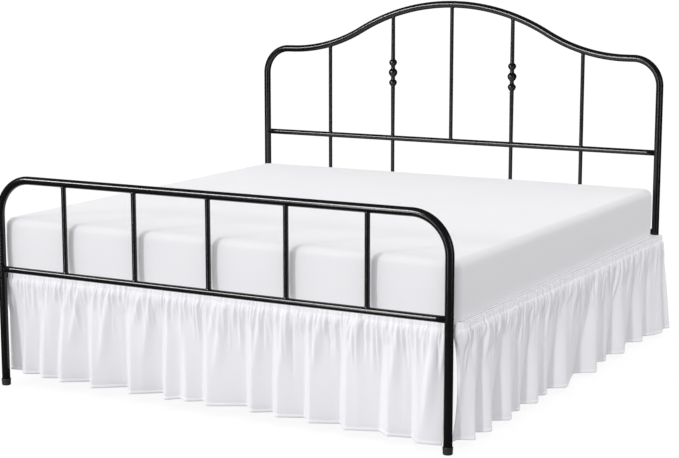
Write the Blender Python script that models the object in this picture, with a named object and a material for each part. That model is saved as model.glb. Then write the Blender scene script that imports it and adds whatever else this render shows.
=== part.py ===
"""Bed skirt on a king-size tubular metal bed.

Metres, +Z up. The bed is drawn with its foot posts on Y = 0 and its head posts on Y = BED_LENGTH,
and stands on Z = 0. At the end everything is moved along Y, so that the origin is at the middle of
the whole part, on the floor. +X is the bed's right side as seen from the foot.
"""

import math
from collections import namedtuple

import bpy
from mathutils import Vector

GAP = 0.0003              # between pieces that touch
TUBE_SIDES = 12
END_RING = 0.50           # a rod's cut end has a second ring of points at this share of its radius
CAP_SIDES = 16

# Bed frame: posts, rails and balusters
FOOT_POST_X = 0.947
HEAD_POST_X = 0.990
BED_LENGTH = 2.050        # foot posts to head posts
POST_RADIUS = 0.0157
RAIL_RADIUS = 0.0123
BALUSTER_RADIUS = 0.0096
HEAD_BALUSTER_RADIUS = 0.0085
FOOT_TOP_Z = 0.8115
FOOT_BEND = 0.140         # bend radius at the footboard's corners
LOW_RAIL_Z = 0.460
MID_RAIL_Z = 0.807
SHOULDER_Z = 1.2145
SHOULDER_BEND = 0.120
ARCH_TOP_Z = 1.4365
ARCH_HALF_WIDTH = 0.842   # where the shoulder starts to rise
ARCH_TOP_RADIUS = 0.950
FOOT_BALUSTERS = (-0.641, -0.322, 0.0, 0.322, 0.641)
HEAD_BALUSTERS = (-0.637, -0.301, 0.0, 0.301, 0.637)
BEADED = (1, 3)           # which head balusters carry a stack of beads
BEAD_Z = 1.1135
BEAD_MIDDLE = (0.0205, 0.0255)   # radius and half height
BEAD_SMALL = (0.0185, 0.0215)

# End caps
CAP_RADIUS = 0.0180
CAP_HEIGHT = 0.0260
CAP_FLOOR = 0.0040
CAP_BORE = POST_RADIUS + 0.0006

# Base under the mattress
BASE_TOP = 0.4487
BASE_HEIGHT = 0.030
BASE_FRONT = 0.0335       # front face of the foot cross rail
BASE_CORNER_X = 0.9715    # outer side of the base at the foot corner
BASE_HEAD_X = 1.0065      # and at its head end
BASE_CORNER_RADIUS = 0.012
BASE_REAR = BED_LENGTH - POST_RADIUS - GAP
SIDE_RAIL_WIDTH = 0.030
CROSS_RAIL_DEPTH = 0.025
BRACKET_X = 0.9452        # just inside the middle of the foot post
BRACKET_WIDTH = 0.0036
BRACKET_Z = (0.4215, 0.4415)
SLAT_COUNT = 8
SLAT_WIDTH = 0.060
SLAT_THICKNESS = 0.012
CENTRE_RAIL_WIDTH = 0.040
CENTRE_LEG_RADIUS = 0.016
CENTRE_LEG_SPOTS = (0.25, 0.50, 0.75)

# Mattress
MATTRESS_FOOT_X = 0.964
MATTRESS_HEAD_X = 0.987
MATTRESS_ENDS = (0.024, BED_LENGTH - 0.024)
MATTRESS_Z = (0.449, 0.654)
MATTRESS_CORNER = 0.045
MATTRESS_TOP_EDGE = 0.030
MATTRESS_BOTTOM_EDGE = 0.007

# Skirt
BAND_THICKNESS = 0.004
BAND_HEIGHT = 0.026
FOOT_BAND_TOP = 0.4485    # just under the mattress, which stands out past the base here
SIDE_BAND_TOP = 0.4505    # just above the base, beside the mattress
CLOTH = 0.002
HEM_CLOTH = 0.003         # the turned hem is a little thicker
HEM_DEPTH = 0.011
CLOTH_OUT = 0.0035        # middle of the cloth, out from the base
FOLD_START = 0.05         # share of the drop that hangs straight below the band
FOLD_GROWTH = 0.85        # how the folds open on their way down
FOOT_PANEL_HALF = 0.941
SIDE_START_X = 0.9492     # where a side panel starts, behind the foot post
SIDE_END_Y = 2.066
DROP_ROWS = (0.0, 0.05, 0.16, 0.38, 0.66)   # shares of the drop, above the hem

# One row for each fold, at the hem. tip: place of the crest along the panel. reach: how far the
# crest stands out from the band's face. flank: from the valley before it to the crest, the steep
# side. valley: how far that valley lies in. hem: height of the hem above the floor.
Fold = namedtuple("Fold", "tip reach flank valley hem")
FOOT_FOLDS = (
    Fold(-0.862, 0.026, 0.036, -0.016, 0.051),
    Fold(-0.776, 0.026, 0.038, -0.020, 0.046),
    Fold(-0.688, 0.028, 0.038, -0.020, 0.041),
    Fold(-0.541, 0.030, 0.052, -0.048, 0.037),
    Fold(-0.363, 0.030, 0.054, -0.052, 0.037),
    Fold(-0.204, 0.030, 0.050, -0.048, 0.036),
    Fold(-0.118, 0.016, 0.030, -0.004, 0.038),
    Fold(-0.022, 0.030, 0.036, -0.020, 0.037),
    Fold(0.167, 0.030, 0.044, -0.036, 0.038),
    Fold(0.274, 0.030, 0.036, -0.024, 0.035),
    Fold(0.406, 0.030, 0.036, -0.022, 0.032),
    Fold(0.548, 0.030, 0.038, -0.028, 0.028),
    Fold(0.712, 0.024, 0.042, -0.012, 0.027),
    Fold(0.830, 0.030, 0.036, -0.018, 0.021),
)
RIGHT_FOLDS = (
    Fold(0.114, 0.022, 0.050, -0.036, 0.023),
    Fold(0.245, 0.026, 0.050, -0.040, 0.022),
    Fold(0.412, 0.026, 0.054, -0.042, 0.022),
    Fold(0.524, 0.008, 0.030, -0.020, 0.026),
    Fold(0.662, 0.022, 0.050, -0.038, 0.023),
    Fold(0.773, 0.010, 0.034, -0.018, 0.027),
    Fold(0.924, 0.028, 0.054, -0.040, 0.022),
    Fold(1.222, 0.036, 0.066, -0.040, 0.017),
    Fold(1.388, 0.012, 0.036, -0.018, 0.024),
    Fold(1.554, 0.030, 0.054, -0.034, 0.022),
    Fold(1.796, 0.026, 0.056, -0.034, 0.023),
    Fold(1.916, 0.016, 0.036, -0.012, 0.024),
    Fold(1.998, 0.036, 0.040, 0.018, 0.017),
)
LEFT_FOLDS = (
    Fold(0.126, 0.020, 0.048, -0.034, 0.044),
    Fold(0.270, 0.028, 0.050, -0.038, 0.040),
    Fold(0.392, 0.014, 0.042, -0.024, 0.036),
    Fold(0.560, 0.030, 0.052, -0.040, 0.032),
    Fold(0.706, 0.018, 0.046, -0.030, 0.031),
    Fold(0.884, 0.026, 0.050, -0.038, 0.029),
    Fold(0.996, 0.010, 0.034, -0.018, 0.031),
    Fold(1.176, 0.034, 0.058, -0.040, 0.027),
    Fold(1.338, 0.020, 0.046, -0.028, 0.027),
    Fold(1.512, 0.028, 0.052, -0.036, 0.025),
    Fold(1.640, 0.012, 0.036, -0.020, 0.027),
    Fold(1.806, 0.028, 0.052, -0.030, 0.024),
    Fold(1.975, 0.020, 0.046, -0.014, 0.027),
)
# Each panel's two ends, at the hem. lean: how far the corner of the cloth moves along the panel.
End = namedtuple("End", "place reach lean hem")
FOOT_LEFT_END = End(-FOOT_PANEL_HALF, -0.004, -0.010, 0.054)
FOOT_RIGHT_END = End(FOOT_PANEL_HALF, 0.004, -0.024, 0.021)
SIDE_HEAD_REACH = 0.044
SIDE_HEAD_LEAN = 0.068
SIDE_HEAD_HEM = 0.018
SIDE_FOOT_REACH = -0.046
SIDE_FOOT_LEAN = 0.058
RIGHT_FOOT_HEM = 0.022
LEFT_FOOT_HEM = 0.046
LEAN_SPREAD = 0.160       # how much of the panel an end's lean takes with it
SIDE_REST_Y = 2.052       # beside the head post the cloth stays outside it
SIDE_REST_REACH = 0.004


# Plumbing ------------------------------------------------------------------------------------------

def clear_scene():
    for item in list(bpy.data.objects):
        bpy.data.objects.remove(item, do_unlink=True)


def make_material(name, colour, roughness, metallic=0.0):
    material = bpy.data.materials.new(name)
    material.use_nodes = True
    shader = material.node_tree.nodes["Principled BSDF"]
    shader.inputs["Base Color"].default_value = (*colour, 1.0)
    shader.inputs["Roughness"].default_value = roughness
    shader.inputs["Metallic"].default_value = metallic
    return material


def add_mesh(name, points, faces, material, root):
    mesh = bpy.data.meshes.new(name)
    mesh.from_pydata([tuple(point) for point in points], [], faces)
    mesh.validate()
    mesh.shade_smooth()
    mesh.set_sharp_from_angle(angle=math.radians(40.0))
    mesh.materials.append(material)
    item = bpy.data.objects.new(name, mesh)
    bpy.context.scene.collection.objects.link(item)
    item.parent = root
    return item


def tube_faces(rings, sides, first_fan=None, last_fan=None):
    """Quads between rings of the same size, with a fan or one flat face at each end."""
    faces = []
    for ring in range(rings - 1):
        for side in range(sides):
            a = ring * sides + side
            b = ring * sides + (side + 1) % sides
            faces.append((a, b, b + sides, a + sides))
    first = list(range(sides))
    last = [(rings - 1) * sides + side for side in range(sides)]
    if first_fan is None:
        faces.append(tuple(reversed(first)))
    else:
        faces += [(first[(side + 1) % sides], first[side], first_fan) for side in range(sides)]
    if last_fan is None:
        faces.append(tuple(last))
    else:
        faces += [(last[side], last[(side + 1) % sides], last_fan) for side in range(sides)]
    return faces


# Bent tubes ----------------------------------------------------------------------------------------

def arc(centre, radius, start, end, steps):
    """Points in the XZ plane round centre, angles in radians from +X towards +Z."""
    points = []
    for step in range(steps + 1):
        angle = start + (end - start) * step / steps
        points.append((centre[0] + radius * math.cos(angle), centre[1] + radius * math.sin(angle)))
    return points


def mirrored(half):
    """A path from the right foot to the middle, continued to the left foot."""
    other = [(-x, z) for x, z in reversed(half)]
    if abs(half[-1][0]) < 1e-9:
        other = other[1:]
    return half + other


def foot_path():
    corner = (FOOT_POST_X - FOOT_BEND, FOOT_TOP_Z - FOOT_BEND)
    half = [(FOOT_POST_X, CAP_FLOOR + GAP)]
    half += arc(corner, FOOT_BEND, 0.0, math.pi / 2, 8)
    return mirrored(half)


def arch_parts():
    """Sum of the two radii, sweep angle and lower radius of the arch's tangent arcs."""
    rise = ARCH_TOP_Z - SHOULDER_Z
    total = (ARCH_HALF_WIDTH ** 2 + rise ** 2) / (2 * rise)
    return total, math.asin(ARCH_HALF_WIDTH / total), total - ARCH_TOP_RADIUS


def head_path():
    total, sweep, low_radius = arch_parts()
    corner = (HEAD_POST_X - SHOULDER_BEND, SHOULDER_Z - SHOULDER_BEND)
    half = [(HEAD_POST_X, CAP_FLOOR + GAP)]
    half += arc(corner, SHOULDER_BEND, 0.0, math.pi / 2, 7)
    low_centre = (ARCH_HALF_WIDTH, SHOULDER_Z + low_radius)
    half += arc(low_centre, low_radius, -math.pi / 2, -math.pi / 2 - sweep, 6)
    top_centre = (0.0, ARCH_TOP_Z - ARCH_TOP_RADIUS)
    half += arc(top_centre, ARCH_TOP_RADIUS, math.pi / 2 - sweep, math.pi / 2, 8)[1:]
    return mirrored(half)


def arch_at(x):
    """Height and slope, at x, of the middle line of the arched tube as it is drawn."""
    path = head_path()
    for (x_right, z_right), (x_left, z_left) in zip(path, path[1:]):
        if x_left <= x <= x_right and x_left < x_right:
            slope = (z_right - z_left) / (x_right - x_left)
            return z_left + (x - x_left) * slope, math.atan(slope)
    return SHOULDER_Z, 0.0


def sweep_tube(name, path, y, radius, material, root):
    """A round tube along a path in the XZ plane at depth y."""
    points = []
    for index, (x, z) in enumerate(path):
        before = Vector(path[max(index - 1, 0)])
        after = Vector(path[min(index + 1, len(path) - 1)])
        along = (after - before).normalized()
        across = Vector((along.y, -along.x))
        for side in range(TUBE_SIDES):
            angle = 2 * math.pi * (side + 0.5) / TUBE_SIDES
            out = radius * math.cos(angle)
            points.append((x + across.x * out, y + radius * math.sin(angle), z + across.y * out))
    return add_mesh(name, points, tube_faces(len(path), TUBE_SIDES), material, root)


# Straight rods with ends cut to the tube that they meet ---------------------------------------------

def saddle(radius, across, slope=0.0):
    """How far a tube's surface stands from its middle line at a distance across it."""
    reach = radius + GAP
    return math.sqrt(max(reach ** 2 - across ** 2, 0.0)) / math.cos(slope)


def upright_rod(name, x, y, radius, low_end, high_end, material, root, beads=()):
    """A rod along Z. low_end and high_end give the height at (dx, dy) from its middle."""
    inner = radius * END_RING
    profile = [(low_end, inner), (low_end, radius)] + list(beads) + [(high_end, radius), (high_end, inner)]
    points = []
    for height, ring_radius in profile:
        for side in range(TUBE_SIDES):
            angle = 2 * math.pi * (side + 0.5) / TUBE_SIDES
            dx = ring_radius * math.cos(angle)
            dy = ring_radius * math.sin(angle)
            z = height(dx, dy) if callable(height) else height
            points.append((x + dx, y + dy, z))
    points.append((x, y, low_end(0.0, 0.0)))
    points.append((x, y, high_end(0.0, 0.0)))
    faces = tube_faces(len(profile), TUBE_SIDES, len(points) - 2, len(points) - 1)
    return add_mesh(name, points, faces, material, root)


def cross_rod(name, half_span, y, z, radius, material, root):
    """A rail along X between two posts at +-half_span, its ends cut round the posts."""
    points = []
    for sign, ring_radius in ((-1, radius * END_RING), (-1, radius), (1, radius), (1, radius * END_RING)):
        for side in range(TUBE_SIDES):
            angle = 2 * math.pi * (side + 0.5) / TUBE_SIDES
            dy = ring_radius * math.cos(angle)
            reach = half_span - saddle(POST_RADIUS, dy) - GAP
            points.append((sign * reach, y + dy, z + ring_radius * math.sin(angle)))
    for sign in (-1, 1):
        points.append((sign * (half_span - saddle(POST_RADIUS, 0.0) - GAP), y, z))
    faces = tube_faces(4, TUBE_SIDES, len(points) - 2, len(points) - 1)
    return add_mesh(name, points, faces, material, root)


def bead_profile():
    """Rings of a stack of three beads round the rod, as (height, radius)."""
    small_radius, small_half = BEAD_SMALL
    big_radius, big_half = BEAD_MIDDLE
    spots = ((-(big_half + small_half), small_radius, small_half), (0.0, big_radius, big_half),
             (big_half + small_half, small_radius, small_half))
    waist = HEAD_BALUSTER_RADIUS + 0.0008
    rings = []
    for offset, ball_radius, half in spots:
        for share in (-0.92, -0.55, 0.0, 0.55, 0.92):
            swell = ball_radius * math.sqrt(1.0 - share ** 2)
            rings.append((BEAD_Z + offset + share * half, max(swell, waist)))
    bottom = BEAD_Z - big_half - 2 * small_half
    top = BEAD_Z + big_half + 2 * small_half
    return [(bottom, HEAD_BALUSTER_RADIUS)] + rings + [(top, HEAD_BALUSTER_RADIUS)]


def build_balusters(metal, root):
    for number, x in enumerate(FOOT_BALUSTERS, start=1):
        upright_rod(
            f"foot_baluster_{number}", x, 0.0, BALUSTER_RADIUS,
            lambda dx, dy: LOW_RAIL_Z + saddle(RAIL_RADIUS, dy),
            lambda dx, dy: FOOT_TOP_Z - saddle(POST_RADIUS, dy), metal, root)
    lower = 0
    for index, x in enumerate(HEAD_BALUSTERS):
        slope = arch_at(x)[1]
        beads = bead_profile() if index in BEADED else ()
        upright_rod(
            f"head_baluster_{index + 1}", x, BED_LENGTH, HEAD_BALUSTER_RADIUS,
            lambda dx, dy: MID_RAIL_Z + saddle(RAIL_RADIUS, dy),
            lambda dx, dy: arch_at(x + dx)[0] - saddle(POST_RADIUS, dy, slope), metal, root, beads)
        if x != 0.0:
            lower += 1
            upright_rod(
                f"head_baluster_low_{lower}", x, BED_LENGTH, HEAD_BALUSTER_RADIUS,
                lambda dx, dy: LOW_RAIL_Z + saddle(RAIL_RADIUS, dy),
                lambda dx, dy: MID_RAIL_Z - saddle(RAIL_RADIUS, dy), metal, root)


# End caps ------------------------------------------------------------------------------------------

def build_cap(name, x, y, material, root):
    """A cup that the post stands in: outer wall, rim, bore and floor, turned round the post."""
    profile = ((0.0, CAP_RADIUS - 0.0015), (0.0015, CAP_RADIUS), (CAP_HEIGHT - 0.001, CAP_RADIUS),
               (CAP_HEIGHT, CAP_RADIUS - 0.001), (CAP_HEIGHT, CAP_BORE), (CAP_FLOOR, CAP_BORE))
    points = []
    for z, radius in profile:
        for side in range(CAP_SIDES):
            angle = 2 * math.pi * side / CAP_SIDES
            points.append((x + radius * math.cos(angle), y + radius * math.sin(angle), z))
    add_mesh(name, points, tube_faces(len(profile), CAP_SIDES), material, root)


# Base ----------------------------------------------------------------------------------------------

def base_slant():
    """Angle of the base's sides away from the bed's length."""
    run = BASE_REAR - (BASE_FRONT + BASE_CORNER_RADIUS)
    return math.atan((BASE_HEAD_X - BASE_CORNER_X) / run)


def base_side_x(y):
    """Outer side of the base at y, along its straight part."""
    start = BASE_FRONT + BASE_CORNER_RADIUS
    return BASE_CORNER_X + (y - start) * math.tan(base_slant())


def prism(name, outline, low, high, material, root):
    """An outline in the XY plane, anticlockwise, raised from low to high."""
    points = [(x, y, low) for x, y in outline] + [(x, y, high) for x, y in outline]
    return add_mesh(name, points, tube_faces(2, len(outline)), material, root)


def block(name, x_range, y_range, z_range, material, root):
    outline = ((x_range[0], y_range[0]), (x_range[1], y_range[0]), (x_range[1], y_range[1]), (x_range[0], y_range[1]))
    return prism(name, outline, z_range[0], z_range[1], material, root)


def side_rail_outline():
    """Right side rail from above: straight, slightly slanted, with a rounded foot corner."""
    corner = (BASE_CORNER_X - BASE_CORNER_RADIUS, BASE_FRONT + BASE_CORNER_RADIUS)
    outline = [(BASE_CORNER_X - SIDE_RAIL_WIDTH, BASE_FRONT)]
    outline += arc(corner, BASE_CORNER_RADIUS, -math.pi / 2, 0.0, 4)
    outline.append((base_side_x(BASE_REAR), BASE_REAR))
    outline.append((base_side_x(BASE_REAR) - SIDE_RAIL_WIDTH, BASE_REAR))
    return outline


def base_inner_x(y):
    return base_side_x(y) - SIDE_RAIL_WIDTH


def build_base(metal, root):
    low = BASE_TOP - BASE_HEIGHT
    right = side_rail_outline()
    prism("side_rail_right", right, low, BASE_TOP, metal, root)
    prism("side_rail_left", [(-x, y) for x, y in reversed(right)], low, BASE_TOP, metal, root)
    front = (BASE_FRONT, BASE_FRONT + CROSS_RAIL_DEPTH)
    rear = (BASE_REAR - CROSS_RAIL_DEPTH, BASE_REAR)
    foot_half = BASE_CORNER_X - SIDE_RAIL_WIDTH - GAP
    head_half = base_inner_x(rear[0]) - GAP
    block("cross_rail_foot", (-foot_half, foot_half), front, (low, BASE_TOP), metal, root)
    block("cross_rail_head", (-head_half, head_half), rear, (low, BASE_TOP), metal, root)
    for side, sign in (("right", 1), ("left", -1)):
        inner = sign * (BRACKET_X - BRACKET_WIDTH / 2)
        outer = sign * (BRACKET_X + BRACKET_WIDTH / 2)
        block(f"foot_bracket_{side}", sorted((inner, outer)), (POST_RADIUS + GAP, BASE_FRONT - GAP), BRACKET_Z,
              metal, root)
    step = (rear[0] - front[1]) / (SLAT_COUNT + 1)
    slat_low = BASE_TOP - SLAT_THICKNESS
    for number in range(1, SLAT_COUNT + 1):
        middle = front[1] + step * number
        half = base_inner_x(middle - SLAT_WIDTH / 2) - GAP
        block(f"slat_{number}", (-half, half), (middle - SLAT_WIDTH / 2, middle + SLAT_WIDTH / 2),
              (slat_low, BASE_TOP), metal, root)
    half = CENTRE_RAIL_WIDTH / 2
    rail_z = (low, slat_low - GAP)
    block("centre_rail", (-half, half), (front[1] + GAP, rear[0] - GAP), rail_z, metal, root)
    for number, share in enumerate(CENTRE_LEG_SPOTS, start=1):
        upright_rod(f"centre_leg_{number}", 0.0, BED_LENGTH * share, CENTRE_LEG_RADIUS,
                    lambda dx, dy: 0.0, lambda dx, dy: low - GAP, metal, root)


# Mattress ------------------------------------------------------------------------------------------

def mattress_ring(inset, z):
    """One level of the mattress: a rectangle a little wider at the head, with round corners."""
    radius = MATTRESS_CORNER - inset
    corners = (
        (MATTRESS_FOOT_X, MATTRESS_ENDS[0], 1, 1), (MATTRESS_HEAD_X, MATTRESS_ENDS[1], 1, -1),
        (MATTRESS_HEAD_X, MATTRESS_ENDS[1], -1, -1), (MATTRESS_FOOT_X, MATTRESS_ENDS[0], -1, 1))
    ring = []
    for index, (half_width, end, side, inward) in enumerate(corners):
        centre = (side * (half_width - MATTRESS_CORNER), end + inward * MATTRESS_CORNER)
        start = (-0.5 + 0.5 * index) * math.pi
        ring += [(x, y, z) for x, y in arc(centre, radius, start, start + math.pi / 2, 5)]
    return ring


def build_mattress(cover, root):
    low, high = MATTRESS_Z
    levels = []
    for step in range(4):
        angle = math.pi / 2 * step / 3
        levels.append((MATTRESS_BOTTOM_EDGE * (1 - math.sin(angle)), low + MATTRESS_BOTTOM_EDGE * (1 - math.cos(angle))))
    for step in range(5):
        angle = math.pi / 2 * step / 4
        levels.append((MATTRESS_TOP_EDGE * (1 - math.cos(angle)), high - MATTRESS_TOP_EDGE * (1 - math.sin(angle))))
    points = []
    for inset, z in levels:
        ring = mattress_ring(inset, z)
        points += ring
    add_mesh("mattress", points, tube_faces(len(levels), len(ring)), cover, root)


# Skirt ---------------------------------------------------------------------------------------------

def foot_face(place, out):
    """Point on the foot face at X = place, out from the base."""
    return Vector((place, BASE_FRONT - out))


def side_line(place, out):
    """Point on the right side's straight line, continued past its foot corner, out from the base."""
    slant = base_slant()
    return Vector((base_side_x(place) + out * math.cos(slant), place - out * math.sin(slant)))


def side_face(place, out):
    """As side_line, but before the corner it follows the round corner and then the foot face."""
    bend_end = BASE_FRONT + BASE_CORNER_RADIUS
    if place >= bend_end:
        return side_line(place, out)
    slant = base_slant()
    middle_radius = BASE_CORNER_RADIUS + CLOTH_OUT
    turn = math.pi / 2 - slant
    back = bend_end - place
    centre = Vector((BASE_CORNER_X - BASE_CORNER_RADIUS, bend_end))
    angle = -slant - min(back / middle_radius, turn)
    reach = BASE_CORNER_RADIUS + out
    point = centre + reach * Vector((math.cos(angle), math.sin(angle)))
    past = back - turn * middle_radius
    return point - Vector((past, 0.0)) if past > 0 else point


def side_start():
    """Place along the side at which the panel behind the foot post starts."""
    flat = BASE_CORNER_X - BASE_CORNER_RADIUS - SIDE_START_X
    turn = math.pi / 2 - base_slant()
    return BASE_FRONT + BASE_CORNER_RADIUS - turn * (BASE_CORNER_RADIUS + CLOTH_OUT) - flat


def hem_line(folds, start, end, rests=()):
    """Turning points of the hem, as (place, reach, hem height), from the fold table."""
    turns = [(start.place, start.reach, start.hem)]
    for fold in folds:
        if fold.tip - fold.flank > start.place + 0.01:
            turns.append((fold.tip - fold.flank, fold.valley, fold.hem + 0.002))
        turns.append((fold.tip, fold.reach, fold.hem))
    turns += list(rests)
    turns.append((end.place, end.reach, end.hem))
    return turns


def panel_columns(turns):
    """Stations along a panel between its turning points, each with its reach and hem height."""
    columns = []
    for (a, reach_a, hem_a), (b, reach_b, hem_b) in zip(turns, turns[1:]):
        steps = 3 if b - a < 0.053 else 4
        for step in range(steps):
            share = step / steps
            blend = 0.5 - 0.5 * math.cos(math.pi * share)
            columns.append((a + (b - a) * share, reach_a + (reach_b - reach_a) * blend,
                            hem_a + (hem_b - hem_a) * blend))
    columns.append(turns[-1])
    return columns


def end_lean(place, start, end):
    """How far the hem moves along the panel at a station, because its ends lean."""
    near = max(0.0, 1.0 - (place - start.place) / LEAN_SPREAD)
    far = max(0.0, 1.0 - (end.place - place) / LEAN_SPREAD)
    return start.lean * near ** 1.5 + end.lean * far ** 1.5


def panel_points(columns, start, end, band_top, top_curve, hem_curve):
    """Middle surface of a panel: a grid of rows down the drop, each with a point for each column."""
    top = band_top - BAND_HEIGHT - GAP
    grid = []
    for row in range(len(DROP_ROWS) + 2):
        line = []
        for place, reach, hem in columns:
            drop = top - hem
            hem_share = 1.0 - HEM_DEPTH / drop
            share = (DROP_ROWS + (hem_share, 1.0))[row]
            opening = max(0.0, (share - FOLD_START) / (1.0 - FOLD_START)) ** FOLD_GROWTH
            above = top_curve(place, CLOTH_OUT)
            below = hem_curve(place + end_lean(place, start, end), CLOTH_OUT + reach)
            flat = above.lerp(below, opening)
            line.append(Vector((flat.x, flat.y, top - drop * share)))
        grid.append(line)
    return grid


def sheet_solid(name, grid, material, root, mirror=False):
    """A thin closed sheet on a grid of points. The last row is the hem's thicker edge."""
    rows = len(grid)
    columns = len(grid[0])
    outer = []
    inner = []
    for row in range(rows):
        thickness = HEM_CLOTH if row >= rows - 2 else CLOTH
        for column in range(columns):
            across = grid[row][min(column + 1, columns - 1)] - grid[row][max(column - 1, 0)]
            normal = Vector((across.y, -across.x, 0.0)).normalized()
            outer.append(grid[row][column] + normal * thickness / 2)
            inner.append(grid[row][column] - normal * thickness / 2)
    points = outer + inner
    if mirror:
        points = [Vector((-point.x, point.y, point.z)) for point in points]
    count = rows * columns
    faces = []
    for row in range(rows - 1):
        for column in range(columns - 1):
            a = row * columns + column
            b = a + columns
            faces.append((a, b, b + 1, a + 1))
            faces.append((count + a, count + a + 1, count + b + 1, count + b))
    rim = [(0, column) for column in range(columns)] + [(row, columns - 1) for row in range(1, rows)]
    rim += [(rows - 1, column) for column in range(columns - 2, -1, -1)] + [(row, 0) for row in range(rows - 2, 0, -1)]
    loop = [row * columns + column for row, column in rim]
    for a, b in zip(loop, loop[1:] + loop[:1]):
        faces.append((a, b, count + b, count + a))
    if mirror:
        faces = [tuple(reversed(face)) for face in faces]
    return add_mesh(name, points, faces, material, root)


def band_solid(name, places, top, curve, material, root, mirror=False):
    """The binding: a strip of even height and thickness along a curve on the base."""
    outline = [curve(place, GAP + BAND_THICKNESS) for place in places]
    outline += [curve(place, GAP) for place in reversed(places)]
    outline = [(point.x, point.y) for point in outline]
    if mirror:
        outline = [(-x, y) for x, y in reversed(outline)]
    strips = len(places)
    count = 2 * strips
    points = [(x, y, top - BAND_HEIGHT) for x, y in outline] + [(x, y, top) for x, y in outline]
    faces = []
    for index in range(count):
        after = (index + 1) % count
        faces.append((index, after, count + after, count + index))
    for index in range(strips - 1):
        a, b = index, index + 1
        c, d = count - 2 - index, count - 1 - index
        faces.append((d, c, b, a))
        faces.append((count + a, count + b, count + c, count + d))
    return add_mesh(name, points, faces, material, root)


def build_skirt(cloth, root):
    turns = hem_line(FOOT_FOLDS, FOOT_LEFT_END, FOOT_RIGHT_END)
    columns = panel_columns(turns)
    grid = panel_points(columns, FOOT_LEFT_END, FOOT_RIGHT_END, FOOT_BAND_TOP, foot_face, foot_face)
    sheet_solid("panel_foot", grid, cloth, root)
    band_solid("band_foot", (-FOOT_PANEL_HALF, 0.0, FOOT_PANEL_HALF), FOOT_BAND_TOP, foot_face, cloth, root)
    start = side_start()
    bend_end = BASE_FRONT + BASE_CORNER_RADIUS
    bend_start = bend_end - (math.pi / 2 - base_slant()) * (BASE_CORNER_RADIUS + CLOTH_OUT)
    corner = [bend_start + (bend_end - bend_start) * step / 5 for step in range(6)]
    band_places = [start] + corner + [1.0, SIDE_END_Y]
    sides = (("right", RIGHT_FOLDS, False, RIGHT_FOOT_HEM), ("left", LEFT_FOLDS, True, LEFT_FOOT_HEM))
    for side, folds, mirror, foot_hem in sides:
        foot_end = End(start, SIDE_FOOT_REACH, SIDE_FOOT_LEAN, foot_hem)
        head_end = End(SIDE_END_Y, SIDE_HEAD_REACH, SIDE_HEAD_LEAN, SIDE_HEAD_HEM)
        rests = ((SIDE_REST_Y, SIDE_REST_REACH, SIDE_HEAD_HEM),)
        columns = panel_columns(hem_line(folds, foot_end, head_end, rests))
        grid = panel_points(columns, foot_end, head_end, SIDE_BAND_TOP, side_face, side_line)
        sheet_solid(f"panel_{side}", grid, cloth, root, mirror)
        band_solid(f"band_{side}", band_places, SIDE_BAND_TOP, side_face, cloth, root, mirror)


# Whole ---------------------------------------------------------------------------------------------

def centre_on_origin(root):
    """Moves the part along Y so that the middle of its length is at the origin."""
    reach = [(item.matrix_world @ vertex.co).y for item in bpy.data.objects if item.type == "MESH"
             for vertex in item.data.vertices]
    root.location.y = -(min(reach) + max(reach)) / 2


def main():
    clear_scene()
    root = bpy.data.objects.new("bed_middle", None)
    bpy.context.scene.collection.objects.link(root)
    metal = make_material("black_gloss_metal", (0.012, 0.012, 0.013), 0.28, 0.35)
    steel = make_material("dark_base_steel", (0.020, 0.020, 0.022), 0.45, 0.30)
    rubber = make_material("black_cap", (0.018, 0.018, 0.018), 0.55)
    cloth = make_material("white_skirt_cloth", (0.86, 0.86, 0.89), 0.85)
    cover = make_material("white_mattress_cover", (0.84, 0.84, 0.86), 0.90)

    sweep_tube("footboard_hoop", foot_path(), 0.0, POST_RADIUS, metal, root)
    sweep_tube("headboard_hoop", head_path(), BED_LENGTH, POST_RADIUS, metal, root)
    cross_rod("foot_low_rail", FOOT_POST_X, 0.0, LOW_RAIL_Z, RAIL_RADIUS, metal, root)
    cross_rod("head_mid_rail", HEAD_POST_X, BED_LENGTH, MID_RAIL_Z, RAIL_RADIUS, metal, root)
    cross_rod("head_low_rail", HEAD_POST_X, BED_LENGTH, LOW_RAIL_Z, RAIL_RADIUS, metal, root)
    build_balusters(metal, root)
    for end, post_x, y in (("foot", FOOT_POST_X, 0.0), ("head", HEAD_POST_X, BED_LENGTH)):
        build_cap(f"cap_{end}_right", post_x, y, rubber, root)
        build_cap(f"cap_{end}_left", -post_x, y, rubber, root)
    build_base(steel, root)
    build_mattress(cover, root)
    build_skirt(cloth, root)
    centre_on_origin(root)


main()
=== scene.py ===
import math

import bpy
import numpy as np
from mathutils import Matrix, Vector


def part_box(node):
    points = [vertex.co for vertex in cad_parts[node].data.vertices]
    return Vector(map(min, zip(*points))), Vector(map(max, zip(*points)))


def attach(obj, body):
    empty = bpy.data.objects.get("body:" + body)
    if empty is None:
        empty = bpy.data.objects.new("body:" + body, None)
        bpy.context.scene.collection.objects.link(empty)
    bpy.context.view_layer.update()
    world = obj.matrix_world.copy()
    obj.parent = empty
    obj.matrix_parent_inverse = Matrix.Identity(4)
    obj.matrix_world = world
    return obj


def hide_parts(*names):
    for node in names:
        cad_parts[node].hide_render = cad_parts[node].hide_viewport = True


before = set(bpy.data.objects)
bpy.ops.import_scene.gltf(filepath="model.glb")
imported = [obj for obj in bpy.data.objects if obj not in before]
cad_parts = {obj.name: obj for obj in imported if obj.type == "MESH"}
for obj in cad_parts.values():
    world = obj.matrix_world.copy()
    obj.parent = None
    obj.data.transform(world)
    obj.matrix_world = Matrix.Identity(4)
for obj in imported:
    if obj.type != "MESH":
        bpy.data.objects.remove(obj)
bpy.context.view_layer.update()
print("frame loaded,", len(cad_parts), "solids")


# Places taken from the frame: the posts, and the line that the foot posts stand on.

def middleOf(node):
    low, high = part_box(node)
    return (low + high) / 2


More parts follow.
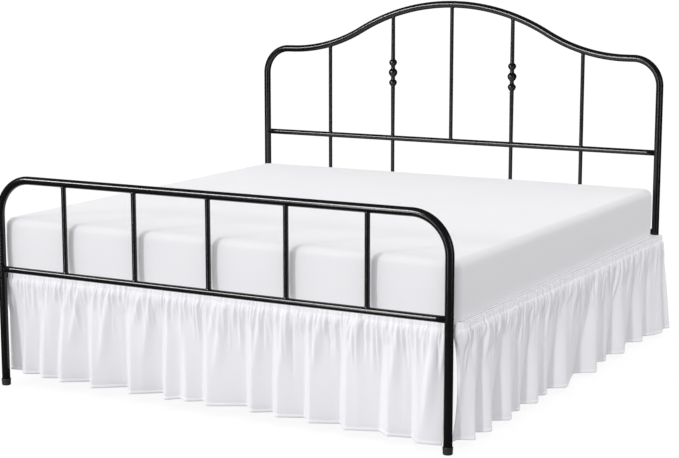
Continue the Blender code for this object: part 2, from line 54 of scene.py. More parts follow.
footPost = middleOf("cap_foot_right")
headPost = middleOf("cap_head_right")
footY = footPost.y
headY = headPost.y
body = "root"


# Mesh making

def newObject(name, data):
    item = bpy.data.objects.new(name, data)
    bpy.context.scene.collection.objects.link(item)
    return item


def asPiece(name, mesh, material, stands, smoothAngle=None):
    mesh.validate()
    mesh.shade_smooth()
    if smoothAngle is not None:
        mesh.set_sharp_from_angle(angle=math.radians(smoothAngle))
    mesh.materials.append(material)
    piece = newObject(name, mesh)
    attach(piece, body)
    if stands:
        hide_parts(*stands)
    return piece


def newPiece(name, points, faces, material, stands=(), smoothAngle=None):
    mesh = bpy.data.meshes.new(name)
    mesh.from_pydata(np.asarray(points, float).reshape(-1, 3).tolist(), [], faces)
    return asPiece(name, mesh, material, stands, smoothAngle)


def quadPiece(name, points, faces, material, stands=()):
    mesh = bpy.data.meshes.new(name)
    mesh.vertices.add(len(points))
    mesh.vertices.foreach_set("co", np.asarray(points, np.float32).ravel())
    mesh.loops.add(len(faces) * 4)
    mesh.loops.foreach_set("vertex_index", np.asarray(faces, np.int32).ravel())
    mesh.polygons.add(len(faces))
    mesh.polygons.foreach_set("loop_start", np.arange(0, len(faces) * 4, 4, dtype=np.int32))
    mesh.update(calc_edges=True)
    return asPiece(name, mesh, material, stands)


def meshUv(piece, uv):
    mesh = piece.data
    layer = mesh.uv_layers.new(name="clothMetres")
    loopVertex = np.zeros(len(mesh.loops), np.int32)
    mesh.loops.foreach_get("vertex_index", loopVertex)
    layer.data.foreach_set("uv", uv[loopVertex].astype(np.float32).ravel())


def ringFaces(rings, sides):
    ring = np.arange(rings - 1)[:, None] * sides
    side = np.arange(sides)[None, :]
    after = (side + 1) % sides
    quads = np.stack([ring + side, ring + after, ring + after + sides, ring + side + sides], -1)
    faces = quads.reshape(-1, 4).tolist()
    faces.append(list(range(sides - 1, -1, -1)))
    faces.append(list(range((rings - 1) * sides, rings * sides)))
    return faces


# Faces of a thin sheet: its front grid, its back grid and the edge between them.
def sheetFaces(rows, columns, flip):
    index = np.arange(rows * columns).reshape(rows, columns)
    front = np.stack([index[:-1, :-1], index[1:, :-1], index[1:, 1:], index[:-1, 1:]], -1).reshape(-1, 4)
    rim = np.concatenate([index[0, :], index[1:, -1], index[-1, -2::-1], index[-2:0:-1, 0]])
    after = np.roll(rim, -1)
    back = rows * columns
    edge = np.stack([rim, after, after + back, rim + back], -1)
    faces = np.concatenate([front, front[:, ::-1] + back, edge])
    return faces[:, ::-1] if flip else faces


def turned(profile, sides, x, y):
    angle = 2 * np.pi * (np.arange(sides) + 0.5) / sides
    height, radius = np.array(profile).T
    points = np.zeros((len(profile), sides, 3))
    points[:, :, 0] = x + radius[:, None] * np.cos(angle)
    points[:, :, 1] = y + radius[:, None] * np.sin(angle)
    points[:, :, 2] = height[:, None]
    return points


def runAlong(line):
    return np.concatenate([[0], np.cumsum(np.linalg.norm(np.diff(line, axis=0), axis=1))])


# Materials

def newMaterial(name):
    material = bpy.data.materials.new(name)
    material.use_nodes = True
    return material, material.node_tree, material.node_tree.nodes["Principled BSDF"]


def feed(tree, socket, value):
    if isinstance(value, bpy.types.NodeSocket):
        tree.links.new(value, socket)
    else:
        socket.default_value = value


def setSockets(tree, node, **sockets):
    for key, value in sockets.items():
        feed(tree, node.inputs[key.replace("_", " ")], value)


def addNode(tree, kind, settings=None, inputs=(), **sockets):
    node = tree.nodes.new(kind)
    for key, value in (settings or {}).items():
        setattr(node, key, value)
    for socket, value in zip(node.inputs, inputs):
        feed(tree, socket, value)
    setSockets(tree, node, **sockets)
    return node


def noiseAt(tree, place, scale, detail=2.0, roughness=0.5):
    node = addNode(tree, "ShaderNodeTexNoise", Vector=place, Scale=scale, Detail=detail, Roughness=roughness)
    return node.outputs["Fac"]


def remap(tree, value, fromLow, fromHigh, toLow, toHigh):
    node = addNode(tree, "ShaderNodeMapRange", Value=value, From_Min=fromLow, From_Max=fromHigh,
                   To_Min=toLow, To_Max=toHigh)
    return node.outputs["Result"]


def tint(tree, value, low, high):
    node = addNode(tree, "ShaderNodeMix", {"data_type": "RGBA"}, Factor=value, A=(*low, 1), B=(*high, 1))
    return node.outputs["Result"]


def mathOf(tree, operation, *values):
    return addNode(tree, "ShaderNodeMath", {"operation": operation}, values).outputs[0]


def objectPlace(tree):
    return addNode(tree, "ShaderNodeTexCoord").outputs["Object"]


# Colour from one noise, roughness from another, and bumps laid over each other.
def dressShader(tree, shader, look, cloud, nap, napSpan, **heights):
    below = {}
    for name, height in heights.items():
        strength, depth = look[name]
        bump = addNode(tree, "ShaderNodeBump", Strength=strength, Distance=depth, Height=height, **below)
        below = {"Normal": bump.outputs["Normal"]}
    setSockets(tree, shader, Base_Color=tint(tree, cloud, look["dark"], look["light"]),
               Roughness=remap(tree, nap, *napSpan, *look["roughness"]),
               Specular_IOR_Level=look["specular"], Sheen_Weight=look.get("sheen", 0.0),
               Sheen_Roughness=look.get("sheenRoughness", 0.5), **below)


wavePeriod = 0.314          # metres from band to band of a wave texture of scale 1
cloudSpan = (0.35, 0.65)    # where most values of a soft noise lie
yarnSpan = (0.3, 0.7)


def paintedMetal(name, look):
    material, tree, shader = newMaterial(name)
    place = objectPlace(tree)
    cloud = noiseAt(tree, place, look["cloudScale"], 3.0)
    peel = noiseAt(tree, place, look["peelScale"], 1.0)
    grit = noiseAt(tree, place, look["gritScale"], 0.0)
    dressShader(tree, shader, look, cloud, cloud, cloudSpan, peel=peel, grit=grit)
    return material


tubeLook = {
    "dark": (0.0064, 0.0064, 0.0068),
    "light": (0.0090, 0.0090, 0.0095),
    "roughness": (0.17, 0.21),
    "specular": 0.45,
    "cloudScale": 14.0,
    "peelScale": 620.0,
    "peel": (0.07, 0.00004),      # bump strength and depth, as for the other bumps below
    "gritScale": 1500.0,
    "grit": (0.03, 0.00002),
}
capLook = dict(tubeLook, dark=(0.020, 0.020, 0.021), light=(0.034, 0.034, 0.035), roughness=(0.52, 0.66),
               specular=0.35, peelScale=380.0, peel=(0.07, 0.00012))
baseLook = dict(tubeLook, dark=(0.016, 0.016, 0.018), light=(0.028, 0.028, 0.031), roughness=(0.42, 0.58),
                cloudScale=22.0)

tubePaint = paintedMetal("satinBlackTube", tubeLook)
capRubber = paintedMetal("mattBlackCap", capLook)
basePaint = paintedMetal("darkBaseSteel", baseLook)


def weaveOf(tree, place, thread):
    scale = wavePeriod / (2 * thread)
    warp, weft = [addNode(tree, "ShaderNodeTexWave", {"bands_direction": axis}, Vector=place,
                          Scale=scale).outputs["Fac"] for axis in ("X", "Y")]
    over = mathOf(tree, "MULTIPLY", warp, mathOf(tree, "SUBTRACT", 1.0, weft))
    under = mathOf(tree, "MULTIPLY", weft, mathOf(tree, "SUBTRACT", 1.0, warp))
    return mathOf(tree, "MAXIMUM", over, under)


def wovenCloth(name, look):
    material, tree, shader = newMaterial(name)
    where = addNode(tree, "ShaderNodeTexCoord").outputs["UV"]
    slub = addNode(tree, "ShaderNodeMapping", Vector=where, Scale=look["slubStretch"]).outputs["Vector"]
    yarn = noiseAt(tree, slub, look["slubScale"], 2.0)
    cloud = noiseAt(tree, where, look["cloudScale"], 3.0)
    crinkle = noiseAt(tree, where, look["crinkleScale"], 3.0, 0.55)
    weave = weaveOf(tree, where, look["thread"])
    dressShader(tree, shader, look, cloud, yarn, yarnSpan, crinkle=crinkle, slub=yarn, weave=weave)
    return material


skirtLook = {
    "dark": (0.880, 0.876, 0.908),
    "light": (0.906, 0.903, 0.930),
    "roughness": (0.82, 0.92),
    "specular": 0.25,
    "sheen": 0.30,
    "sheenRoughness": 0.45,
    "thread": 0.00032,
    "weave": (0.5, 0.00006),
    "slubStretch": (1.0, 0.06, 1.0),
    "slubScale": 900.0,
    "slub": (0.3, 0.00005),
    "cloudScale": 7.0,
    "crinkleScale": 34.0,
    "crinkle": (0.5, 0.0012),
}
skirtCloth = wovenCloth("whiteSkirtCloth", skirtLook)
hemThread = wovenCloth("whiteHemThread", dict(skirtLook, thread=0.00012, dark=(0.80, 0.80, 0.83),
                                               light=(0.84, 0.84, 0.87), crinkle=(0.5, 0.0001)))
bandCloth = wovenCloth("whiteBandCloth", dict(skirtLook, crinkleScale=110.0, crinkle=(0.5, 0.0006)))

coverLook = {
    "dark": (0.856, 0.852, 0.876),
    "light": (0.878, 0.874, 0.898),
    "roughness": (0.84, 0.93),
    "roughScale": 260.0,
    "sheen": 0.10,
    "sheenRoughness": 0.5,
    "specular": 0.2,
    "loop": 0.0011,
    "loopWobble": 0.6,
    "knit": (0.45, 0.00012),
    "puffScale": 9.0,
    "puff": (0.25, 0.004),
    "cloudScale": 3.5,
}


def knitCover(name, look):
    material, tree, shader = newMaterial(name)
    place = objectPlace(tree)
    scale = wavePeriod / look["loop"]
    rows = [addNode(tree, "ShaderNodeTexWave", {"bands_direction": axis}, Vector=place, Scale=scale,
                    Distortion=look["loopWobble"], Detail=1.0).outputs["Fac"] for axis in ("X", "Y", "Z")]
    knit = mathOf(tree, "MAXIMUM", mathOf(tree, "MAXIMUM", rows[0], rows[1]), rows[2])
    cloud = noiseAt(tree, place, look["cloudScale"], 3.0)
    puff = noiseAt(tree, place, look["puffScale"], 1.0)
    nap = noiseAt(tree, place, look["roughScale"])
    dressShader(tree, shader, look, cloud, nap, yarnSpan, puff=puff, knit=knit)
    return material


mattressCover = knitCover("whiteMattressKnit", coverLook)
print("materials made")


# Bent tubes: each bends in the XZ plane at its own depth.

def arcPoints(centre, radius, start, end, steps):
    angle = start + (end - start) * np.arange(steps + 1) / steps
    return np.stack([centre[0] + radius * np.cos(angle), centre[1] + radius * np.sin(angle)], 1)


def bentTube(name, path, y, radius, sides, node):
    before = np.vstack([path[:1], path[:-1]])
    after = np.vstack([path[1:], path[-1:]])
    along = after - before
    along /= np.linalg.norm(along, axis=1)[:, None]
    across = np.stack([along[:, 1], -along[:, 0]], 1)
    angle = 2 * np.pi * (np.arange(sides) + 0.5) / sides
    out = radius * np.cos(angle)
    points = np.zeros((len(path), sides, 3))
    points[:, :, 0] = path[:, :1] + across[:, :1] * out
    points[:, :, 1] = y + radius * np.sin(angle)
    points[:, :, 2] = path[:, 1:] + across[:, 1:] * out
    return newPiece(name, points, ringFaces(len(path), sides), tubePaint, [node])


# A hoop's right half, and the same mirrored: the middle point is shared where it lies on the centre line.
def bothSides(half):
    other = half[::-1] * np.array([-1.0, 1.0])
    return np.vstack([half, other[1:] if abs(half[-1, 0]) < 1e-9 else other])


tube = {
    "postRadius": 0.0157,
    "railRadius": 0.0123,
    "footBalusterRadius": 0.0096,
    "headBalusterRadius": 0.0085,
    "footTop": 0.8115,
    "footBend": 0.140,
    "lowRail": 0.460,
    "midRail": 0.807,
    "shoulder": 1.2145,
    "shoulderBend": 0.120,
    "archTop": 1.4365,
    "archHalf": 0.842,
    "archRadius": 0.950,
    "postFoot": 0.0045,
    "postSides": 40,
    "railSides": 32,
    "balusterSides": 28,
    "railSteps": 40,
    "footSteps": (14, 28),             # post, bend
    "headSteps": (16, 26, 26, 34),     # post, shoulder, dip, half of the arch
    "footBalusters": (-0.641, -0.322, 0.0, 0.322, 0.641),
    "headBalusters": (-0.637, -0.301, 0.0, 0.301, 0.637),
    "beadedBalusters": (2, 4),
}


def postAndBend(x, bend, top, postSteps, bendSteps):
    corner = (x - bend, top - bend)
    post = np.array([[x, z] for z in np.linspace(tube["postFoot"], corner[1], postSteps)[:-1]])
    return np.vstack([post, arcPoints(corner, bend, 0.0, math.pi / 2, bendSteps)])


def headPath():
    postSteps, bendSteps, dipSteps, crownSteps = tube["headSteps"]
    rise = tube["archTop"] - tube["shoulder"]
    total = (tube["archHalf"] ** 2 + rise ** 2) / (2 * rise)
    sweep = math.asin(tube["archHalf"] / total)
    lowRadius = total - tube["archRadius"]
    post = postAndBend(headPost.x, tube["shoulderBend"], tube["shoulder"], postSteps, bendSteps)
    dip = arcPoints((tube["archHalf"], tube["shoulder"] + lowRadius), lowRadius, -math.pi / 2,
                    -math.pi / 2 - sweep, dipSteps)
    crown = arcPoints((0.0, tube["archTop"] - tube["archRadius"]), tube["archRadius"], math.pi / 2 - sweep,
                      math.pi / 2, crownSteps)
    crown[-1, 0] = 0.0
    return bothSides(np.vstack([post, dip, crown[1:]]))


footPath = bothSides(postAndBend(footPost.x, tube["footBend"], tube["footTop"], *tube["footSteps"]))
archPath = headPath()


def archHeight(x):
    upper = archPath[archPath[:, 1] > tube["shoulder"] - 1e-6]
    order = np.argsort(upper[:, 0])
    return float(np.interp(x, upper[order, 0], upper[order, 1]))


def rail(name, half, y, z, node):
    path = np.array([[x, z] for x in np.linspace(half, -half, tube["railSteps"])])
    return bentTube(name, path, y, tube["railRadius"], tube["railSides"], node)


# A rod flares a little where it is welded on, and its ends are buried in the tubes it meets.
weld = {"reach": 0.0045, "flare": 0.0016, "rings": 5, "curve": 2.2, "bite": 0.0006, "buried": 0.004}


def weldedEnd(radius, seat, direction):
    rows = []
    for step in range(weld["rings"] + 1):
        share = step / weld["rings"]
        flare = weld["flare"] * (1 - share) ** weld["curve"]
        rows.append((seat + direction * weld["reach"] * share, radius + flare))
    return rows


beads = {
    "height": 1.1135,
    "middle": (0.0205, 0.0255),    # radius and half height
    "small": (0.0185, 0.0215),
    "waist": 0.0094,
    "rings": 22,
    "highWaist": 0.85,      # below 1, the widest place lies above the middle
    "fullness": 0.86,
    "pole": 0.015,          # share of a bead left off at either pole, inside the waist
}


def beadRows():
    bigRadius, bigHalf = beads["middle"]
    smallRadius, smallHalf = beads["small"]
    reach = bigHalf + smallHalf
    rows = []
    for offset, swell, half in ((-reach, smallRadius, smallHalf), (0.0, bigRadius, bigHalf),
                                (reach, smallRadius, smallHalf)):
        for share in np.linspace(1 - beads["pole"], beads["pole"], beads["rings"]):
            swollen = math.sin(math.pi * share ** beads["highWaist"]) ** beads["fullness"]
            rows.append((beads["height"] + offset + half * (1 - 2 * share),
                         max(swell * swollen, beads["waist"])))
    return rows


def uprightRod(name, x, y, radius, low, high, node, middle=()):
    rows = [(low - weld["buried"], radius)] + weldedEnd(radius, low, 1) + list(middle)
    rows += weldedEnd(radius, high, -1)[::-1] + [(high + weld["buried"], radius)]
    sides = tube["balusterSides"]
    return newPiece(name, turned(rows, sides, x, y), ringFaces(len(rows), sides), tubePaint,
                    [node])


bentTube("footboardHoop", footPath, footY, tube["postRadius"], tube["postSides"], "footboard_hoop")
bentTube("headboardHoop", archPath, headY, tube["postRadius"], tube["postSides"], "headboard_hoop")
footLowRail = rail("footLowRail", footPost.x, footY, tube["lowRail"], "foot_low_rail")
footLowRail.visible_shadow = False    # studio light fills the cloth close behind this rail
footLowRail.visible_diffuse = False
rail("headMidRail", headPost.x, headY, tube["midRail"], "head_mid_rail")
rail("headLowRail", headPost.x, headY, tube["lowRail"], "head_low_rail")

overRail = tube["railRadius"] - weld["bite"]
underPost = tube["postRadius"] - weld["bite"]
for index, x in enumerate(tube["footBalusters"], start=1):
    uprightRod(f"footBaluster{index}", x, footY, tube["footBalusterRadius"], tube["lowRail"] + overRail,
               tube["footTop"] - underPost, f"foot_baluster_{index}")
lower = 0
for index, x in enumerate(tube["headBalusters"], start=1):
    radius = tube["headBalusterRadius"]
    middle = beadRows() if index in tube["beadedBalusters"] else ()
    uprightRod(f"headBaluster{index}", x, headY, radius, tube["midRail"] + overRail,
               archHeight(x) - underPost, f"head_baluster_{index}", middle)
    if x != 0.0:
        lower += 1
        uprightRod(f"headBalusterLow{lower}", x, headY, radius, tube["lowRail"] + overRail,
                   tube["midRail"] - overRail, f"head_baluster_low_{lower}")
print("tubes made")


# Caps that the posts stand in

cap = {
    "rim": 0.0184,
    "waist": 0.0172,
    "height": 0.026,
    "rounding": 0.0035,
    "wall": 0.0024,
    "underside": 0.006,
    "sides": 40,
    "smoothAngle": 60,
    # the rim from below: depth under the top edge, and how far inside the rim's radius
    "lip": ((0.0050, 0.0001), (0.0034, 0.0), (0.0012, 0.0), (0.0003, 0.0004), (0.0, 0.0012)),
    "taper": ((0.0117, 0.0002), (0.0198, 0.0005)),      # height, and how far outside the waist's radius
    "postClear": 0.0002,
    "inside": (0.0015, 0.006),
}


def capRows():
    rows = [(0.0, cap["underside"]), (0.0, cap["waist"] - cap["rounding"])]
    for step in range(1, 7):
        angle = math.pi / 2 * step / 6
        rows.append((cap["rounding"] * (1 - math.cos(angle)),
                     cap["waist"] - cap["rounding"] * (1 - math.sin(angle))))
    top = cap["height"]
    rows += [(height, cap["waist"] + out) for height, out in cap["taper"]]
    rows += [(top - depth, cap["rim"] - inset) for depth, inset in cap["lip"]]
    rows.append((top, cap["rim"] - cap["wall"]))
    rows += [(top - depth, tube["postRadius"] + cap["postClear"]) for depth in cap["inside"]]
    return rows


for end, post in (("foot", footPost), ("head", headPost)):
    for side, sign in (("right", 1), ("left", -1)):
        rows = capRows()
        newPiece(f"{end}Cap{side.capitalize()}", turned(rows, cap["sides"], sign * post.x, post.y),
                 ringFaces(len(rows), cap["sides"]), capRubber, [f"cap_{end}_{side}"],
                 smoothAngle=cap["smoothAngle"])
print("caps made")


# The hidden base keeps its solids, in a better finish.

for node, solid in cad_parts.items():
    if node.startswith(("side_rail", "cross_rail", "slat", "centre", "foot_bracket")):
        solid.data.materials.clear()
        solid.data.materials.append(basePaint)


# Mattress

mattress = {
    "footHalf": 0.964,
    "headHalf": 0.987,
    "low": 0.449,
    "high": 0.654,
    "corner": 0.045,
    "topEdge": 0.030,
    "bottomEdge": 0.007,
    "crown": 0.0045,
    "wave": 0.0009,
    "bulge": 0.0030,
    "bulgeRound": 1.2,
    "ripple": 0.35,
    "edgeHold": 24,     # keeps the bulge to the sides
    "fill": 0.92,
    "cornerSteps": 14,
    "sideSteps": 30,
    "underRings": (0.02, 0.3, 0.6, 0.85, 0.96),
    "topRings": (0.985, 0.96, 0.92, 0.85, 0.75, 0.62, 0.47, 0.3, 0.15, 0.02),
}
mattressLow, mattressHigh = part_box("mattress")


def mattressRing(inset, z, shrink=1.0):
    radius = max(mattress["corner"] - inset, 0.004)
    offset = inset + radius
    half = (mattress["footHalf"], mattress["headHalf"], mattress["headHalf"], mattress["footHalf"])
    ends = (mattressLow.y, mattressHigh.y, mattressHigh.y, mattressLow.y)
    signs = ((1, 1), (1, -1), (-1, -1), (-1, 1))
    corners = []
    for index, (sx, sy) in enumerate(signs):
        centre = (sx * (half[index] - offset), ends[index] + sy * offset)
        start = (-0.5 + 0.5 * index) * math.pi
        corners.append(arcPoints(centre, radius, start, start + math.pi / 2, mattress["cornerSteps"]))
    outline = []
    for index, corner in enumerate(corners):
        outline.append(corner)
        first, last = corner[-1], corners[(index + 1) % 4][0]
        share = np.arange(1, mattress["sideSteps"])[:, None] / mattress["sideSteps"]
        outline.append(first + (last - first) * share)
    outline = np.vstack(outline)
    middle = np.array([0.0, (mattressLow.y + mattressHigh.y) / 2])
    outline = middle + (outline - middle) * shrink
    return np.column_stack([outline, np.full(len(outline), z)])


def buildMattress():
    low, high = mattress["low"], mattress["high"]
    bottom, top = mattress["bottomEdge"], mattress["topEdge"]
    levels = [(bottom, low, share) for share in mattress["underRings"]]
    for angle in np.linspace(0, math.pi / 2, 5):
        levels.append((bottom * (1 - math.sin(angle)), low + bottom * (1 - math.cos(angle)), 1.0))
    for share in np.linspace(0, 1, 12)[1:-1]:
        levels.append((0.0, low + bottom + share * (high - top - low - bottom), 1.0))
    for angle in np.linspace(0, math.pi / 2, 10):
        levels.append((top * (1 - math.cos(angle)), high - top * (1 - math.sin(angle)), 1.0))
    levels += [(top, high, share) for share in mattress["topRings"]]
    points = np.array([mattressRing(*level) for level in levels])
    middleY = (mattressLow.y + mattressHigh.y) / 2
    halfY = (mattressHigh.y - mattressLow.y) / 2
    x, y, z = points[..., 0] / mattress["headHalf"], (points[..., 1] - middleY) / halfY, points[..., 2]
    outX, outY = np.clip(np.abs(x), 0, 1), np.clip(np.abs(y), 0, 1)
    rise = np.clip((z - (low + high) / 2) / ((high - low) / 2), 0, 1)
    crown = mattress["crown"] * (1 - outX ** 4) * (1 - outY ** 4)
    wave = mattress["wave"] * np.sin(5.1 * x + 2.3 * y + 0.4) * np.sin(4.3 * y - 1.9 * x + 1.1)
    points[..., 2] += rise * (crown + wave)
    height = np.clip((z - low) / (high - low), 0, 1)
    belly = mattress["bulge"] * np.sin(np.pi * height) ** mattress["bulgeRound"]
    ripple = 1 + mattress["ripple"] * np.sin(7.3 * x + 5.7 * y)
    hold = mattress["edgeHold"]
    out = np.stack([outX ** hold * np.sign(x), outY ** hold * np.sign(y)], -1)
    points[..., :2] += out * (belly * ripple)[..., None]
    return newPiece("mattressPad", points, ringFaces(len(levels), points.shape[1]), mattressCover,
                    ["mattress"])


buildMattress()
print("mattress made")


# Skirt. The base's sides spread slightly towards the head, and the side panels follow them.

skirt = {
    "baseFront": 0.0335,
    "baseCornerX": 0.9715,
    "baseHeadX": 1.0065,
    "baseCornerRadius": 0.012,
    "baseRear": 2.0340,
    "bandThickness": 0.004,
    "bandHeight": 0.026,
    "footBandTop": 0.4485,
    "sideBandTop": 0.4484,
    "seamAbove": 0.0015,    # from the band's lower edge up to the seam
    "clothOut": 0.0035,
    "foldStart": 0.05,
    "foldGrowth": 0.85,
    "footHalf": 0.941,
    "sideStartX": 0.9485,
    "sideEnd": 2.066,
    "leanSpread": 0.160,    # stretch beside a panel's end over which it leans out
    "leanCurve": 1.5,
    "clothThickness": 0.0012,
    "hemDepth": 0.011,
    "hemClear": 0.030,      # share of the drop above the hem that has no rows but the hem's own
    "sampling": 0.0007,
    "columns": 1060,
    "rows": 33,
    "rowCrowding": 1.45,    # above 1, the rows lie closer near the heading
    "headingRows": 8,
    "headingEdge": 0.0030,  # how much of the band shows above the ruffled heading
    "headingOut": 0.0060,
    "headingRelief": (0.70, 0.30),      # relief at its edge, and what it gains down to the seam
    "headingDeepest": -0.0004,
    "headingSettle": 0.20,
    "puff": {"foot": 0.0030, "right": 0.0008, "left": 0.0008},  # swell of the cloth below the heading
    "puffRise": 0.05,
    "puffFade": 0.50,
    "ridgeCap": 0.0100,
    "ridgeCapGrowth": 0.2,
    "slantFall": 2.0,       # how quickly a slanting fold comes to its place
    "flankGrowth": (0.45, 0.55),
    "endClear": 0.008,      # a fold's foot that lies closer to the panel's start is left out
    "crestGrowth": 0.62,
    "valleyGrowth": 1.30,
    "valleyLift": 0.002,    # how much higher the hem hangs in a valley
    "deepest": -0.0016,
    "deepening": 0.20,      # valleys may lie deeper further down, from this share of the drop on
    "deepeningFrom": 0.015,
    "rounding": {"foot": 0.0055, "right": 0.0115, "left": 0.0105},
    "creaseGain": {"foot": (1.08, 1.18), "right": (1.4, 1.3), "left": (1.3, 1.25)},  # height and width
    "settle": 0.0012,
    "settleBy": 0.1,
    "threadDrift": 0.7,
}
bendEnd = skirt["baseFront"] + skirt["baseCornerRadius"]
slant = math.atan((skirt["baseHeadX"] - skirt["baseCornerX"]) / (skirt["baseRear"] - bendEnd))


def footFace(place, out):
    return np.stack([place, skirt["baseFront"] - out + 0 * place], -1)


def sideLine(place, out):
    x = skirt["baseCornerX"] + (place - bendEnd) * math.tan(slant)
    return np.stack([x + out * math.cos(slant), place - out * math.sin(slant)], -1)


def sideFace(place, out):
    straight = sideLine(place, out)
    middleRadius = skirt["baseCornerRadius"] + skirt["clothOut"]
    turn = math.pi / 2 - slant
    back = np.maximum(bendEnd - place, 0)
    centre = np.array([skirt["baseCornerX"] - skirt["baseCornerRadius"], bendEnd])
    angle = -slant - np.minimum(back / middleRadius, turn)
    reach = (skirt["baseCornerRadius"] + out)[..., None]
    point = centre + reach * np.stack([np.cos(angle), np.sin(angle)], -1)
    past = np.maximum(back - turn * middleRadius, 0)
    point[..., 0] -= past
    return np.where((place >= bendEnd)[..., None], straight, point)


def sideStart():
    flat = skirt["baseCornerX"] - skirt["baseCornerRadius"] - skirt["sideStartX"]
    turn = math.pi / 2 - slant
    return bendEnd - turn * (skirt["baseCornerRadius"] + skirt["clothOut"]) - flat


def easedLine(spots, values, place):
    spots, values = np.array(spots), np.array(values)
    index = np.clip(np.searchsorted(spots, place, side="right") - 1, 0, len(spots) - 2)
    share = np.clip((place - spots[index]) / (spots[index + 1] - spots[index]), 0, 1)
    blend = 0.5 - 0.5 * np.cos(np.pi * share)
    return values[index] + (values[index + 1] - values[index]) * blend


# Rows of the turned hem: share of the drop from its stitch line, relief and thickness.
hemShape = np.array([
    (-0.0160, 0.0, 0.0012), (-0.0060, -0.0007, 0.0012), (0.0, -0.0012, 0.0016), (0.0050, 0.0009, 0.0036),
    (0.0140, 0.0009, 0.0034), (0.0235, 0.0006, 0.0030), (0.0290, 0.0, 0.0016),
])
hemStitchRow = 2    # the row of hemShape that is stitched through

# Folds at the hem, in millimetres: place of the crest, how far it stands out, width of the steep side
# before it, how far the valley there lies in, height of the hem, and how far its top lies beside it.
footFolds = (
    (-862, 26, 36, -16, 51, 18), (-776, 26, 38, -20, 46, 36), (-688, 28, 38, -20, 41, 40),
    (-541, 30, 52, -48, 37, 4), (-363, 30, 54, -52, 37, 2), (-204, 30, 50, -48, 36, 20),
    (-118, 16, 30, -4, 38, -12), (-22, 30, 36, -20, 37, -1), (167, 30, 44, -36, 38, -6),
    (274, 30, 36, -24, 35, -3), (406, 30, 36, -22, 32, -1), (548, 30, 38, -28, 28, 3),
    (712, 24, 42, -12, 27, -6), (830, 30, 36, -18, 21, -28),
)
rightFolds = (
    (114, 22, 50, -36, 23, 20), (245, 26, 50, -40, 22, -52), (412, 26, 54, -42, 22, -32),
    (524, 8, 30, -20, 26, -3), (662, 22, 50, -38, 23, 0), (773, 10, 34, -18, 27, -1),
    (924, 28, 54, -40, 22, 16), (1222, 36, 66, -40, 17, 40), (1388, 12, 36, -18, 24, 26),
    (1554, 30, 54, -34, 22, -58), (1796, 26, 56, -34, 23, -78), (1916, 16, 36, -12, 24, 20),
    (1998, 36, 40, 18, 17, 10),
)
leftFolds = (
    (126, 20, 48, -34, 44, 16), (270, 28, 50, -38, 40, -30), (392, 14, 42, -24, 36, 10),
    (560, 30, 52, -40, 32, -42), (706, 18, 46, -30, 31, 0), (884, 26, 50, -38, 29, 24),
    (996, 10, 34, -18, 31, 6), (1176, 34, 58, -40, 27, -48), (1338, 20, 46, -28, 27, 18),
    (1512, 28, 52, -36, 25, -30), (1640, 12, 36, -20, 27, 8), (1806, 28, 52, -30, 24, -40),
    (1975, 20, 46, -14, 27, 6),
)

# Smaller creases, in millimetres: place just below the band and where it ends, percent of the drop at which
# it ends, height and width. A height below 0 is a trough.
footCreases = (
    (-938, -941, 13, 6, 6), (-903, -929, 34, 9, 8), (-868, -878, 26, 7, 6), (-812, -806, 13, 6, 5),
    (-783, -793, 63, 6, 8), (-687, -687, 19, 7, 6), (-707, -712, 21, 7, 6), (-585, -654, 65, 11, 10),
    (-631, -663, 29, 8, 7), (-572, -567, 19, 7, 6), (-511, -522, 13, 6, 6), (-451, -513, 81, 12, 11),
    (-486, -491, 16, 6, 5), (-437, -426, 29, 7, 6), (-407, -409, 11, 6, 5), (-387, -400, 24, 7, 6),
    (-306, -350, 34, 11, 8), (-336, -338, 13, 6, 5), (-266, -310, 68, 11, 10), (-232, -237, 21, 7, 6),
    (-159, -169, 16, 7, 6), (-86, -88, 29, 8, 7), (-61, -60, 44, 8, 7), (-34, -35, 13, 6, 5),
    (20, -9, 37, 10, 9), (55, 8, 70, 11, 11), (84, 93, 29, 7, 6), (122, 109, 52, 9, 7), (152, 169, 21, 7, 6),
    (210, 177, 65, 12, 10), (232, 240, 19, 7, 5), (307, 283, 70, 11, 10), (345, 347, 24, 7, 6),
    (358, 349, 16, 6, 5), (380, 381, 21, 7, 6), (450, 423, 52, 12, 9), (466, 464, 19, 7, 5),
    (495, 496, 21, 7, 6), (515, 509, 11, 6, 5), (572, 558, 19, 8, 6), (591, 561, 39, 12, 8),
    (635, 631, 19, 7, 6), (655, 651, 52, 9, 8), (685, 688, 21, 7, 6), (721, 718, 16, 7, 5),
    (751, 724, 60, 11, 10), (782, 791, 21, 7, 6), (846, 829, 13, 7, 6), (861, 860, 21, 7, 6),
    (889, 856, 94, 13, 13), (-449, -438, 44, -6.3, 6), (-264, -251, 38, -6.3, 6), (74, 78, 50, -5.6, 7),
    (225, 230, 25, -5.6, 5), (331, 333, 68, -6.3, 7), (480, 484, 41, -7, 7), (613, 618, 38, -7, 6),
    (767, 783, 44, -6.3, 6), (-825, -817, 23, -5.6, 6), (-726, -721, 16, -4.9, 5), (901, 906, 38, -7, 5),
)
